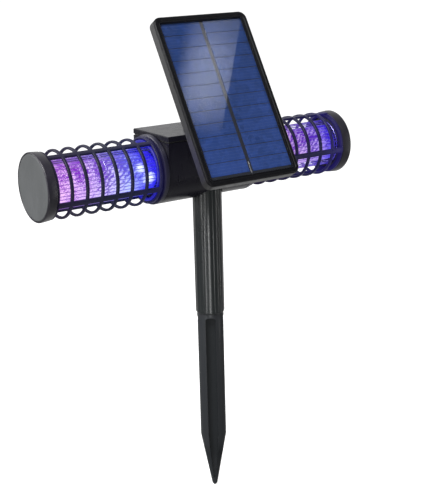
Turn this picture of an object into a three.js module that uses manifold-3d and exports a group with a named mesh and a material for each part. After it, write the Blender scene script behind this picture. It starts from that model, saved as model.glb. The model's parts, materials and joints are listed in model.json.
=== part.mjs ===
// Solar bug zapper on a ground stake. Millimetres, +Z up, front towards -Y.
// The origin is on the stake's axis, at the lower end of the reeded tube.
import * as THREE from "three";
import { mergeVertices } from "three/addons/utils/BufferGeometryUtils.js";
import Module from "manifold-3d";

const wasm = await Module();
wasm.setup();

// Driving dimensions
const GAP = 0.3; // between pieces that meet
const ROUND = 40; // sides of a large circle
const SMALL_ROUND = 16; // sides of a screw or pin
const ARCH_STEPS = 8; // segments of a flute's arched top
const REACH = 2; // how far a cutting tool passes beyond what it cuts

const TUBE = { radius: 13.4, bore: 10.1, bottom: 1.6, top: 131, reeds: 12, reedDepth: 0.7 };
const SPIKE = {
  radius: 13,
  neckRadius: 12.4,
  neckHeight: 2,
  neckFlare: 6,
  length: 178,
  spigotRadius: 9.8,
  spigotHeight: 26,
  taperStart: 121.5,
  noseRadius: 2.4,
  noseHeight: 1.6,
  tipRadius: 1.1,
  fluteWidth: 9.4,
  fluteArch: 2.4,
  fluteFloor: 7,
  fluteTop: 2.2,
  fluteOverrun: 1, // of the straight part of a flute past the start of the point
  runOut: { end: 170, halfWidth: 0.9, floor: 1.8 }, // each flute narrows and rises along the point
  turn: THREE.MathUtils.degToRad(-33.5),
};

const AXIS = { x: -6.5, y: 9.5, z: 142 }; // middle of the line that both cages lie on
const HOUSING = { halfWidth: 45, halfDepth: 30, bottom: 31, bottomRadius: 29, rim: 26.7, wall: 2.4 };
const LID = { bottom: 28.1, top: 32.6, bevel: 0.5 };
const LID_SCREW = { x: 37, y: 22, headRadius: 2.8, shaftRadius: 1.5, bossRadius: 3.6, length: 13 };
const LID_TONGUE = { x: [-42.2, -40.8], y: [12, 19], drop: 7 }; // hooks under the shell's left rim
const PORT_RADIUS = 14; // opening in each side wall for the light's leads

const CAGE = {
  hoops: 7,
  firstHoop: 52.4,
  pitch: 14.27,
  hoopWidth: 3,
  outer: 29.9,
  inner: 27.5,
  bars: 4,
  barWidth: 5,
  flangeStart: 149,
  flangeEnd: 150.7,
  flangeRadius: 29,
  neckStart: 149,
  neckEnd: 156,
  neckOuter: 26.2,
  neckInner: 24.7,
};
const CLOCK = { left: -26, right: -7 }; // degrees of the first bar above the forward direction
const CAP = { start: 151, end: 160.2, innerEdge: 29.1, outerEdge: 30, cavity: 26.5, floor: 156.6 };
const CAP_FACE = { radius: 28.3, start: 159.1, end: 160, pocketRadius: 28.6, pocketFloor: 158.8 };
const SOCKET_RING = { start: 45.3, shoulder: 49.5, end: 54.6, outer: 31.3, spigot: 27.1, inner: 24.9 };
const GRID = { radius: 21.2, wire: 1.2, wires: 24, start: 49.5, end: 150.5, ringWidth: 2 };
const LIGHT_TUBE = { outer: 17, inner: 15.4 };
const GRID_BASE = { start: 45.3, end: 49.2, radius: 24.6, hole: 9 };
const GRID_TIP = { start: 150.8, end: 153.3, radius: 24.2, hole: 4 };
const LED_STRIP = { width: 11, thickness: 1.6, leds: 6, ledSize: 3.4, ledHeight: 1.4 };

const PANEL = { width: 96, height: 156.2, cornerRadius: 7, back: -14, tilt: THREE.MathUtils.degToRad(31.2) };
const PIVOT = { x: -1.5, y: -20.8, z: 191.9 }; // of the panel's tilt
const PANEL_CENTRE = 4; // panel centre above the pivot, along the panel
const TRAY = { front: -21, wall: 2.4, floor: 2 };
const BEZEL = { back: -21.3, front: -23.5, rim: 3.4 };
const LAMINATE = { back: -19.6, front: -20.9, inset: 3 };
const GLASS = { back: -21.2, front: -22.9, inset: 3.7 };
const TRAY_SCREW = { x: 40, z: 66, headRadius: 2.6, shaftRadius: 1.4, bossRadius: 3.8, length: 4.6 };

const ARM = { halfWidth: 8, baseHalfWidth: 15, baseThickness: 3.5, baseFront: -17.5, baseBack: 10.5, eyeRadius: 8.5 };
const EAR = { inner: 8.4, outer: 12.4, radius: 7.5 };
const BRACKET = { halfWidth: 15, halfHeight: 20, thickness: 3 };
const BOLT = { radius: 2.5, hole: 2.8, head: 4.8, headThickness: 4 };
const KNOB = { start: 12.8, end: 24, radius: 8.6, lobes: 6, boreEnd: 18.5 };

const BUTTON = { x: -30.5, z: 148, radius: 6, hole: 6.6, proud: 2.6, flange: 7.8 };
const BOARD = { halfWidth: 34, y: [-10.5, 25.5], bottom: 161.5, thickness: 1.6 };
const BATTERY = { radius: 9.1, length: 65, centreZ: 149.5, y: [-5.5, 15] };

// Materials
function material(color, roughness, metalness = 0, extra = {}) {
  return new THREE.MeshStandardMaterial({ color, roughness, metalness, ...extra });
}
const black = () => material(0x17171a, 0.45);
const satinBlack = () => material(0x202023, 0.55);
const grey = () => material(0x6b6e6e, 0.5);
const rubber = () => material(0x0c0c0d, 0.85);
const steel = () => material(0xb9bcc0, 0.3, 0.9);
const copper = () => material(0xa8683a, 0.4, 0.8);
const green = () => material(0x1f5a35, 0.6);
const cellBlue = () => material(0x1d2f6b, 0.35, 0.2);
const clear = () => material(0xdfe8ff, 0.08, 0, { transparent: true, opacity: 0.3 });
const violet = () => material(0x7a4dff, 0.3, 0, { transparent: true, opacity: 0.6, emissive: 0x5a2cff });

// Solid helpers
function solid(geometry) {
  const bare = geometry.clone();
  bare.deleteAttribute("normal");
  bare.deleteAttribute("uv");
  const merged = mergeVertices(bare, 1e-3);
  const triVerts = new Uint32Array(merged.index.array);
  const build = () =>
    new wasm.Manifold(
      new wasm.Mesh({ numProp: 3, vertProperties: merged.attributes.position.array, triVerts }),
    );
  const made = build();
  if (made.volume() > 0) return made;
  for (let i = 0; i < triVerts.length; i += 3) {
    [triVerts[i + 1], triVerts[i + 2]] = [triVerts[i + 2], triVerts[i + 1]];
  }
  return build();
}

function joined(...pieces) {
  return pieces.reduce((whole, piece) => whole.add(piece));
}

function cut(body, ...tools) {
  return tools.reduce((left, tool) => left.subtract(tool), body);
}

function meshOf(name, body, look) {
  const data = body.getMesh();
  const points = new Float32Array(data.numVert * 3);
  for (let i = 0; i < data.numVert; i++) {
    points.set(data.vertProperties.subarray(i * data.numProp, i * data.numProp + 3), i * 3);
  }
  const geometry = new THREE.BufferGeometry();
  geometry.setAttribute("position", new THREE.BufferAttribute(points, 3));
  geometry.setIndex(new THREE.BufferAttribute(data.triVerts, 1));
  geometry.computeVertexNormals();
  const mesh = new THREE.Mesh(geometry, look);
  mesh.name = name;
  return mesh;
}

// A box from its lowest to its highest corner.
function block([x0, y0, z0], [x1, y1, z1]) {
  const geometry = new THREE.BoxGeometry(x1 - x0, y1 - y0, z1 - z0);
  geometry.translate((x0 + x1) / 2, (y0 + y1) / 2, (z0 + z1) / 2);
  return solid(geometry);
}

// A solid of revolution about Z from [radius, height] points that start and end on the axis.
function turnedZ(profile, sides = ROUND) {
  const points = profile.map(([r, h]) => new THREE.Vector2(r, h));
  return solid(new THREE.LatheGeometry(points, sides).rotateX(Math.PI / 2));
}

// The same about X, from [radius, distance along X] points.
function turnedX(profile, sides = ROUND) {
  const points = profile.map(([r, h]) => new THREE.Vector2(r, h));
  return solid(new THREE.LatheGeometry(points, sides).rotateZ(-Math.PI / 2));
}

function rodX(radius, x0, x1, sides = ROUND) {
  return turnedX([[0, x0], [radius, x0], [radius, x1], [0, x1]], sides);
}

function rodZ(radius, z0, z1, sides = ROUND) {
  return turnedZ([[0, z0], [radius, z0], [radius, z1], [0, z1]], sides);
}

function ringX(outer, inner, x0, x1, sides = ROUND) {
  return turnedX([[inner, x0], [outer, x0], [outer, x1], [inner, x1], [inner, x0]], sides);
}

// A rod along Y, for holes through a front or back wall.
function rodY(radius, y0, y1, sides = SMALL_ROUND) {
  return rodZ(radius, y0, y1, sides).rotate([-90, 0, 0]);
}

// An outline in the YZ plane, extruded along X.
function extrudedX(shape, x0, x1, curveSegments = 10) {
  const geometry = new THREE.ExtrudeGeometry(shape, { depth: x1 - x0, bevelEnabled: false, curveSegments });
  geometry.rotateX(Math.PI / 2).rotateZ(Math.PI / 2).translate(x0, 0, 0);
  return solid(geometry);
}

// An outline in the XZ plane, extruded along Y.
function extrudedY(shape, y0, y1, curveSegments = 4) {
  const geometry = new THREE.ExtrudeGeometry(shape, { depth: y1 - y0, bevelEnabled: false, curveSegments });
  geometry.rotateX(Math.PI / 2).translate(0, y1, 0);
  return solid(geometry);
}

// Ground stake
function fluteTools() {
  const { taperStart, fluteFloor, runOut, radius } = SPIKE;
  const half = SPIKE.fluteWidth / 2;
  const archBase = -SPIKE.fluteTop - SPIKE.fluteArch;
  const straightEnd = -taperStart - SPIKE.fluteOverrun;
  const straight = new THREE.Shape();
  straight.moveTo(-half, straightEnd);
  straight.lineTo(half, straightEnd);
  straight.lineTo(half, archBase);
  straight.absellipse(0, archBase, half, SPIKE.fluteArch, 0, Math.PI);
  straight.lineTo(-half, straightEnd);
  const narrowing = new THREE.Shape();
  narrowing.moveTo(-half, 0);
  narrowing.lineTo(-runOut.halfWidth, taperStart - runOut.end);
  narrowing.lineTo(runOut.halfWidth, taperStart - runOut.end);
  narrowing.lineTo(half, 0);
  narrowing.closePath();
  const slope = Math.atan((fluteFloor - runOut.floor) / (runOut.end - taperStart));
  const rising = extrudedY(narrowing, 0, radius, ARCH_STEPS).rotate([-THREE.MathUtils.radToDeg(slope), 0, 0]);
  const flute = extrudedY(straight, fluteFloor, radius + REACH, ARCH_STEPS);
  return flute.add(rising.translate([0, fluteFloor, -taperStart]));
}

function spikeBody() {
  const { radius, neckRadius, neckHeight, length, spigotRadius, spigotHeight } = SPIKE;
  const shoulder = TUBE.bottom - GAP;
  const profile = [
    [0, -length],
    [SPIKE.tipRadius, -length],
    [SPIKE.noseRadius, SPIKE.noseHeight - length],
    [radius, -SPIKE.taperStart],
    [radius, shoulder - neckHeight - SPIKE.neckFlare],
    [neckRadius, shoulder - neckHeight],
    [neckRadius, shoulder],
    [spigotRadius, shoulder],
    [spigotRadius, spigotHeight],
    [0, spigotHeight],
  ];
  let body = turnedZ(profile, 32);
  for (let k = 0; k < 4; k++) {
    body = body.subtract(fluteTools().rotate([0, 0, 90 * k]));
  }
  return body.rotate([0, 0, THREE.MathUtils.radToDeg(SPIKE.turn)]);
}

// A tube whose outside is a ring of shallow reeds.
function reededTube() {
  const steps = TUBE.reeds * 4;
  const shape = new THREE.Shape();
  for (let i = 0; i < steps; i++) {
    const angle = (i / steps) * 2 * Math.PI;
    const radius = TUBE.radius - TUBE.reedDepth * (0.5 - 0.5 * Math.cos(angle * TUBE.reeds));
    const point = [radius * Math.cos(angle), radius * Math.sin(angle)];
    if (i === 0) shape.moveTo(...point);
    else shape.lineTo(...point);
  }
  shape.closePath();
  const depth = TUBE.top - TUBE.bottom;
  const reeded = new THREE.ExtrudeGeometry(shape, { depth, bevelEnabled: false });
  return cut(solid(reeded.translate(0, 0, TUBE.bottom)), rodZ(TUBE.bore, 0, TUBE.top + 1, 32));
}

function makeStake() {
  const group = new THREE.Group();
  group.add(meshOf("ground_spike", spikeBody(), satinBlack()));
  group.add(meshOf("stake_tube", reededTube(), black()));
  return group;
}

// Housing: flat on top and round below, with its section in line with the cages.
function housingOutline(inset) {
  const depth = HOUSING.halfDepth - inset;
  const bottom = HOUSING.bottom - inset;
  const radius = HOUSING.bottomRadius - inset;
  const top = inset ? LID.top : HOUSING.rim;
  const shape = new THREE.Shape();
  shape.moveTo(-depth, top);
  shape.lineTo(-depth, radius - bottom);
  shape.absarc(radius - depth, radius - bottom, radius, Math.PI, 1.5 * Math.PI);
  shape.lineTo(depth - radius, -bottom);
  shape.absarc(depth - radius, radius - bottom, radius, 1.5 * Math.PI, 2 * Math.PI);
  shape.lineTo(depth, top);
  shape.closePath();
  return shape;
}

const corners = [[-1, -1], [1, -1], [1, 1], [-1, 1]];
const screwPlaces = [-1, 1].map((j) => [LID_SCREW.x, j * LID_SCREW.y, 0]);

function housingShell() {
  const { halfWidth, wall } = HOUSING;
  let body = extrudedX(housingOutline(0), -halfWidth, halfWidth, 9);
  body = body.subtract(extrudedX(housingOutline(wall), wall - halfWidth, halfWidth - wall, 9));
  for (const place of screwPlaces) {
    const boss = rodZ(LID_SCREW.bossRadius, -HOUSING.bottom / 2, HOUSING.rim, SMALL_ROUND);
    const web = block([0, -0.8, -HOUSING.bottom / 2], [halfWidth - LID_SCREW.x - 1, 0.8, HOUSING.rim]);
    const hole = rodZ(LID_SCREW.shaftRadius + GAP, 0, LID.top, SMALL_ROUND);
    body = body.add(boss.add(web).translate(place)).subtract(hole.translate(place));
  }
  const ports = rodX(PORT_RADIUS, -halfWidth - 1, halfWidth + 1, 24);
  const tubeHole = rodZ(TUBE.radius + 0.6, -HOUSING.bottom - 5, 0, 32).translate([-AXIS.x, -AXIS.y, 0]);
  const buttonHole = rodY(BUTTON.hole, HOUSING.halfDepth - 5, HOUSING.halfDepth + 1);
  const buttonPlace = [BUTTON.x - AXIS.x, 0, BUTTON.z - AXIS.z];
  return cut(body, ports, tubeHole, buttonHole.translate(buttonPlace));
}

// The lid's top edge is bevelled all round.
function lidBody() {
  const { halfWidth, halfDepth } = HOUSING;
  const shape = new THREE.Shape();
  const [x, y] = [halfWidth - LID.bevel, halfDepth - LID.bevel];
  shape.moveTo(-x, -y).lineTo(x, -y).lineTo(x, y).lineTo(-x, y).closePath();
  const depth = LID.top - LID.bottom - LID.bevel;
  const bevel = { bevelThickness: LID.bevel, bevelSize: LID.bevel, bevelSegments: 1 };
  const plate = new THREE.ExtrudeGeometry(shape, { depth, ...bevel }).translate(0, 0, LID.bottom);
  let body = solid(plate).subtract(block([-100, -100, 0], [100, 100, LID.bottom]));
  for (const place of screwPlaces) {
    const hole = rodZ(LID_SCREW.shaftRadius + GAP, 0, LID.top + 1, SMALL_ROUND);
    const sink = rodZ(LID_SCREW.headRadius + GAP, LID.top - 2, LID.top + 1, SMALL_ROUND);
    body = body.subtract(hole.add(sink).translate(place));
  }
  for (const j of [-1, 1]) {
    const [near, far] = [j * LID_TONGUE.y[0], j * LID_TONGUE.y[1]].sort((a, b) => a - b);
    const low = [LID_TONGUE.x[0], near, LID.bottom - LID_TONGUE.drop];
    body = body.add(block(low, [LID_TONGUE.x[1], far, LID.bottom + 1]));
  }
  for (const i of [-1, 1]) {
    const hole = rodZ(1.3 + GAP, 0, LID.top + 1, SMALL_ROUND);
    body = body.subtract(hole.translate([PIVOT.x - AXIS.x + i * ARM_SCREW.x, ARM_SCREW.y - AXIS.y, 0]));
  }
  return body;
}

// A thin rubber frame between the shell's rim and the lid.
function gasketBody() {
  const [x, y] = [HOUSING.halfWidth - 0.8, HOUSING.halfDepth - 0.8];
  const width = 1.4;
  const [z0, z1] = [HOUSING.rim + GAP, LID.bottom - GAP];
  return cut(block([-x, -y, z0], [x, y, z1]), block([width - x, width - y, z0 - 1], [x - width, y - width, z1 + 1]));
}

// A screw that points down from the head's underside at z = 0.
function screw(headRadius, headHeight, shaftRadius, length) {
  const profile = [
    [0, -length],
    [shaftRadius, -length],
    [shaftRadius, 0],
    [headRadius, 0],
    [headRadius, headHeight * 0.55],
    [headRadius * 0.6, headHeight],
    [0, headHeight],
  ];
  return turnedZ(profile, SMALL_ROUND);
}

const ARM_SCREW = { x: 11.4, y: -1.5, headRadius: 2.4, headHeight: 1.5, shaftRadius: 1.3, length: 9 };

function makeHousing() {
  const group = new THREE.Group();
  group.position.set(AXIS.x, AXIS.y, AXIS.z);
  group.add(meshOf("housing_shell", housingShell(), black()));
  group.add(meshOf("housing_lid", lidBody(), black()));
  group.add(meshOf("lid_gasket", gasketBody(), rubber()));
  screwPlaces.forEach(([x, y], k) => {
    const body = screw(LID_SCREW.headRadius, 1.5, LID_SCREW.shaftRadius, LID_SCREW.length);
    const mesh = meshOf(`lid_screw_${k + 1}`, body, steel());
    mesh.position.set(x, y, LID.top - 2 + GAP);
    group.add(mesh);
  });
  return group;
}

// A blind sleeve that stands on the housing's floor, for the tube's upper end.
function stakeSocket() {
  const bottom = AXIS.z - HOUSING.bottom;
  const top = TUBE.top + GAP;
  const profile = [
    [TUBE.radius + GAP, bottom],
    [TUBE.radius + 2.2, bottom],
    [TUBE.radius + 2.2, top + 2],
    [0, top + 2],
    [0, top],
    [TUBE.radius + GAP, top],
    [TUBE.radius + GAP, bottom],
  ];
  const cavity = extrudedX(housingOutline(HOUSING.wall + GAP), -HOUSING.halfWidth, HOUSING.halfWidth, 9);
  return turnedZ(profile, 32).intersect(cavity.translate([AXIS.x, AXIS.y, AXIS.z]));
}

// Electrics inside the housing
function batteryCell(y) {
  const half = BATTERY.length / 2;
  const cell = turnedX(
    [[0, -half], [BATTERY.radius, -half], [BATTERY.radius, half - 2.5], [3, half - 2], [3, half], [0, half]],
    24,
  );
  return cell.translate([AXIS.x, y, BATTERY.centreZ]);
}

function batteryCradle() {
  const [x, z0] = [BATTERY.length / 2 + GAP, BATTERY.centreZ - BATTERY.radius - GAP];
  const [y0, y1] = [BATTERY.y[0] - 2.8, BATTERY.y[1] + 9];
  const floor = block([AXIS.x - x - 1.5, y0, z0 - 1.6], [AXIS.x + x + 1.5, y1, z0]);
  const ends = [-1, 1].map((side) => {
    const at = AXIS.x + side * (x + 0.75);
    return block([at - 0.75, y0, z0 - 1], [at + 0.75, y1, BATTERY.centreZ]);
  });
  return joined(floor, ...ends);
}

function makeElectrics() {
  const group = new THREE.Group();
  group.add(meshOf("stake_socket", stakeSocket(), black()));
  group.add(meshOf("battery_cell_front", batteryCell(BATTERY.y[0]), material(0x2f6f8f, 0.4)));
  group.add(meshOf("battery_cell_rear", batteryCell(BATTERY.y[1]), material(0x2f6f8f, 0.4)));
  group.add(meshOf("battery_cradle", batteryCradle(), satinBlack()));
  const { halfWidth, y, bottom, thickness } = BOARD;
  const board = block([AXIS.x - halfWidth, y[0], bottom], [AXIS.x + halfWidth, y[1], bottom + thickness]);
  group.add(meshOf("circuit_board", board, green()));
  const core = block([-18, 27.1, 143], [2, 35, 158]);
  const winding = rodZ(3.4, 141, 160, SMALL_ROUND).translate([-8, 31, 0]);
  group.add(meshOf("step_up_transformer", core.add(winding), copper()));
  const body = block([BUTTON.x - 5, 24.7, BUTTON.z - 5], [BUTTON.x + 5, 30.7, BUTTON.z + 5]);
  group.add(meshOf("push_switch", body, satinBlack()));
  return group;
}

// The leads of one side's lights, from the circuit board out through the side wall.
function lightLead(side) {
  const points = [
    [BOARD.halfWidth + 1.2, BOARD.bottom + 0.8],
    [BOARD.halfWidth + 3.2, BOARD.bottom - 1],
    [BOARD.halfWidth + 4.2, AXIS.z + 12],
    [BOARD.halfWidth + 4.2, AXIS.z + 5],
    [HOUSING.halfWidth - 3, AXIS.z + 0.4],
    [GRID.start - 1, AXIS.z],
  ];
  const bend = points.map(([x, z]) => new THREE.Vector3(AXIS.x + side * x, AXIS.y, z));
  const path = new THREE.CatmullRomCurve3(bend);
  const section = new THREE.Shape();
  section.absarc(0, 0, 1.1, 0, 2 * Math.PI);
  return solid(new THREE.ExtrudeGeometry(section, { steps: 14, extrudePath: path, curveSegments: 3 }));
}

// Power button on the back wall
function makeButton() {
  const wallBack = AXIS.y + HOUSING.halfDepth;
  const inside = wallBack - HOUSING.wall;
  const cap = rodY(BUTTON.radius, inside - 4.2, wallBack + BUTTON.proud, 24);
  const flange = rodY(BUTTON.flange, inside - 3, inside - 1.4, 24);
  const mesh = meshOf("power_button", cap.add(flange), rubber());
  mesh.position.set(BUTTON.x, 0, BUTTON.z);
  return mesh;
}

function makeButtonSurround() {
  const wallBack = AXIS.y + HOUSING.halfDepth;
  const ring = rodY(9, wallBack + GAP, wallBack + 1.5, 24);
  const mesh = meshOf("button_surround", cut(ring, rodY(BUTTON.hole, wallBack - 1, wallBack + 3)), satinBlack());
  mesh.position.set(BUTTON.x, 0, BUTTON.z);
  return mesh;
}

// Zapper side, drawn with +X pointing outwards from the middle of the object.
function cageFrame(clockDegrees) {
  const hoops = [];
  for (let i = 0; i < CAGE.hoops; i++) {
    const middle = CAGE.firstHoop + i * CAGE.pitch;
    hoops.push(ringX(CAGE.outer, CAGE.inner, middle - CAGE.hoopWidth / 2, middle + CAGE.hoopWidth / 2));
  }
  const bars = [];
  const start = CAGE.firstHoop - CAGE.hoopWidth / 2;
  for (let i = 0; i < CAGE.bars; i++) {
    const half = CAGE.barWidth / 2;
    const bar = block([start, -half, CAGE.inner + 0.1], [CAGE.flangeEnd - 0.5, half, CAGE.outer - 0.1]);
    bars.push(bar.rotate([clockDegrees + (360 / CAGE.bars) * i, 0, 0]));
  }
  const flange = ringX(CAGE.flangeRadius, CAGE.neckInner, CAGE.flangeStart, CAGE.flangeEnd);
  const neck = ringX(CAGE.neckOuter, CAGE.neckInner, CAGE.neckStart, CAGE.neckEnd);
  return joined(...hoops, ...bars, flange, neck);
}

function endCap() {
  return turnedX([
    [CAP.cavity, CAP.start],
    [CAP.innerEdge, CAP.start],
    [CAP.outerEdge, CAP.end - 0.6],
    [CAP.outerEdge - 0.6, CAP.end],
    [CAP_FACE.pocketRadius, CAP.end],
    [CAP_FACE.pocketRadius, CAP_FACE.pocketFloor],
    [0, CAP_FACE.pocketFloor],
    [0, CAP.floor],
    [CAP.cavity, CAP.floor],
    [CAP.cavity, CAP.start],
  ]);
}

function socketRing() {
  const { start, shoulder, end, outer, spigot, inner } = SOCKET_RING;
  return turnedX([
    [inner, start],
    [outer, start],
    [outer, shoulder],
    [spigot, shoulder],
    [spigot, end],
    [inner, end],
    [inner, start],
  ]);
}

function gridWires() {
  const half = GRID.wire / 2;
  const ends = [GRID.start, GRID.end - GRID.ringWidth].map((x) =>
    ringX(GRID.radius + half, GRID.radius - half, x, x + GRID.ringWidth, 36),
  );
  const wires = [];
  for (let i = 0; i < GRID.wires; i++) {
    const wire = block([GRID.start + 1, -half * 0.8, GRID.radius - 0.45], [GRID.end - 1, half * 0.8, GRID.radius + 0.45]);
    wires.push(wire.rotate([(360 / GRID.wires) * i, 0, 0]));
  }
  return joined(...ends, ...wires);
}

function ledStrip() {
  const { width, thickness, leds, ledSize, ledHeight } = LED_STRIP;
  const board = block([GRID.start, -thickness / 2, -width / 2], [GRID.end, thickness / 2, width / 2]);
  const span = GRID.end - GRID.start;
  const bumps = [];
  for (let i = 0; i < leds; i++) {
    const x = GRID.start + (span * (i + 0.5)) / leds;
    const y = thickness / 2 + ledHeight;
    bumps.push(block([x - ledSize / 2, -y, -ledSize / 2], [x + ledSize / 2, y, ledSize / 2]));
  }
  return joined(board, ...bumps);
}

// side: "left" or "right"; the left side is turned half a circle about Z.
function makeZapperSide(side) {
  const group = new THREE.Group();
  group.position.set(AXIS.x, AXIS.y, AXIS.z);
  // Bars are built at the top and turn about X, so the forward direction is 90 degrees from there.
  const clock = side === "left" ? -90 + CLOCK.left : 90 - CLOCK.right;
  if (side === "left") group.rotation.z = Math.PI;
  const named = (piece, body, look) => group.add(meshOf(`${side}_${piece}`, body, look));
  named("socket_ring", socketRing(), black());
  named("cage_frame", cageFrame(clock), black());
  named("end_cap", endCap(), black());
  named("cap_face", rodX(CAP_FACE.radius, CAP_FACE.start, CAP_FACE.end), grey());
  const base = ringX(GRID_BASE.radius, GRID_BASE.hole, GRID_BASE.start, GRID_BASE.end, 32);
  named("grid_base", base, satinBlack());
  named("grid_wires", gridWires(), steel());
  named("light_tube", ringX(LIGHT_TUBE.outer, LIGHT_TUBE.inner, GRID.start, GRID.end, 24), violet());
  named("led_strip", ledStrip(), green());
  const tip = ringX(GRID_TIP.radius, GRID_TIP.hole, GRID_TIP.start, GRID_TIP.end, 32);
  named("grid_tip", tip, satinBlack());
  return group;
}

// Support arm on the lid, with the eye that the panel's bracket turns on.
function supportArm() {
  const lidTop = AXIS.z + LID.top + GAP;
  const baseTop = lidTop + ARM.baseThickness;
  const shape = new THREE.Shape();
  shape.moveTo(ARM.baseFront + 1, baseTop - 1);
  shape.lineTo(ARM.baseBack - 6, baseTop - 1);
  shape.absarc(PIVOT.y, PIVOT.z, ARM.eyeRadius, THREE.MathUtils.degToRad(43), THREE.MathUtils.degToRad(228));
  shape.closePath();
  const arm = extrudedX(shape, -ARM.halfWidth, ARM.halfWidth, 9);
  const base = block([-ARM.baseHalfWidth, ARM.baseFront, lidTop], [ARM.baseHalfWidth, ARM.baseBack, baseTop]);
  const eye = rodX(BOLT.hole, -20, 20, SMALL_ROUND).translate([0, PIVOT.y, PIVOT.z]);
  const holes = [-1, 1].map((i) =>
    rodZ(ARM_SCREW.shaftRadius + GAP, lidTop - 1, baseTop + 1, SMALL_ROUND).translate([
      i * ARM_SCREW.x,
      ARM_SCREW.y,
      0,
    ]),
  );
  return cut(arm.add(base), eye, ...holes);
}

function makeArm() {
  const group = new THREE.Group();
  group.position.x = PIVOT.x;
  group.add(meshOf("support_arm", supportArm(), black()));
  const headZ = AXIS.z + LID.top + ARM.baseThickness + 2 * GAP;
  [-1, 1].forEach((i, k) => {
    const { headRadius, headHeight, shaftRadius, length } = ARM_SCREW;
    const mesh = meshOf(`arm_screw_${k + 1}`, screw(headRadius, headHeight, shaftRadius, length), steel());
    mesh.position.set(i * ARM_SCREW.x, ARM_SCREW.y, headZ);
    group.add(mesh);
  });
  const shaftEnd = KNOB.boreEnd - GAP;
  const headEnd = -EAR.outer - GAP;
  const head = rodX(BOLT.head, headEnd - BOLT.headThickness, headEnd, 6);
  const bolt = meshOf("hinge_bolt", head.add(rodX(BOLT.radius, headEnd - 1, shaftEnd, SMALL_ROUND)), steel());
  bolt.position.set(0, PIVOT.y, PIVOT.z);
  group.add(bolt);
  return group;
}

// A lobed hand knob on the bolt's free end.
function makeKnob() {
  const shape = new THREE.Shape();
  const steps = KNOB.lobes * 6;
  for (let i = 0; i < steps; i++) {
    const angle = (i / steps) * 2 * Math.PI;
    const radius = KNOB.radius - 0.9 * (1 - Math.cos(angle * KNOB.lobes));
    const point = [radius * Math.cos(angle), radius * Math.sin(angle)];
    if (i === 0) shape.moveTo(...point);
    else shape.lineTo(...point);
  }
  shape.closePath();
  const body = cut(
    extrudedX(shape, KNOB.start + 1.5, KNOB.end).add(rodX(5, KNOB.start, KNOB.start + 2, 24)),
    rodX(BOLT.radius + GAP, KNOB.start - 1, KNOB.boreEnd, SMALL_ROUND),
  );
  const mesh = meshOf("tilt_knob", body, black());
  mesh.position.set(PIVOT.x, PIVOT.y, PIVOT.z);
  return mesh;
}

// Panel, drawn upright about its pivot: X across, -Y out of the glass, Z up along the panel.
function roundedRectangle(inset) {
  const [x, z, r] = [PANEL.width / 2 - inset, PANEL.height / 2 - inset, Math.max(PANEL.cornerRadius - inset, 1.5)];
  const shape = new THREE.Shape();
  shape.moveTo(-x + r, -z);
  shape.absarc(x - r, r - z, r, -Math.PI / 2, 0);
  shape.absarc(x - r, z - r, r, 0, Math.PI / 2);
  shape.absarc(r - x, z - r, r, Math.PI / 2, Math.PI);
  shape.absarc(r - x, r - z, r, Math.PI, 1.5 * Math.PI);
  shape.closePath();
  return shape;
}

// A slab of the panel's outline, from y0 in front to y1 behind.
function slab(inset, y0, y1) {
  return extrudedY(roundedRectangle(inset), y0, y1, 5).translate([0, 0, PANEL_CENTRE]);
}

function panelTray() {
  let body = cut(slab(0, TRAY.front, PANEL.back), slab(TRAY.wall, TRAY.front - 1, PANEL.back - TRAY.floor));
  for (const [i, j] of corners) {
    const place = [i * TRAY_SCREW.x, 0, PANEL_CENTRE + j * TRAY_SCREW.z];
    const boss = rodY(TRAY_SCREW.bossRadius, LAMINATE.back + GAP, PANEL.back - 1);
    body = body.add(boss.translate(place));
  }
  for (const [i, j] of corners) {
    const place = [i * TRAY_SCREW.x, 0, PANEL_CENTRE + j * TRAY_SCREW.z];
    const hole = rodY(TRAY_SCREW.shaftRadius + GAP, LAMINATE.back - 1, PANEL.back + 1);
    const sink = rodY(TRAY_SCREW.headRadius + GAP, PANEL.back - 1.2, PANEL.back + 1);
    body = cut(body, hole.translate(place), sink.translate(place));
  }
  for (const j of [-1, 1]) {
    const hole = rodY(BRACKET_SCREW.shaftRadius + GAP, PANEL.back - 4, PANEL.back + 1);
    body = body.subtract(hole.translate([0, 0, j * BRACKET_SCREW.z]));
  }
  return body;
}

const BRACKET_SCREW = { z: 15, headRadius: 2.4, headHeight: 1.4, shaftRadius: 1.3, length: 5.8 };

function panelBracket() {
  const { halfWidth, halfHeight, thickness } = BRACKET;
  const back = PANEL.back + GAP;
  const plate = block([-halfWidth, back, -halfHeight], [halfWidth, back + thickness, halfHeight]);
  const ear = new THREE.Shape();
  ear.moveTo(back + thickness - 1, -EAR.radius - 3);
  ear.absarc(0, 0, EAR.radius, -Math.PI / 2, Math.PI / 2);
  ear.lineTo(back + thickness - 1, EAR.radius + 3);
  ear.closePath();
  const ears = [extrudedX(ear, EAR.inner, EAR.outer, 8), extrudedX(ear, -EAR.outer, -EAR.inner, 8)];
  let body = joined(plate, ...ears).subtract(rodX(BOLT.hole, -20, 20, SMALL_ROUND));
  for (const j of [-1, 1]) {
    const hole = rodY(BRACKET_SCREW.shaftRadius + GAP, back - 1, back + thickness + 1);
    body = body.subtract(hole.translate([0, 0, j * BRACKET_SCREW.z]));
  }
  return body;
}

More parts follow.
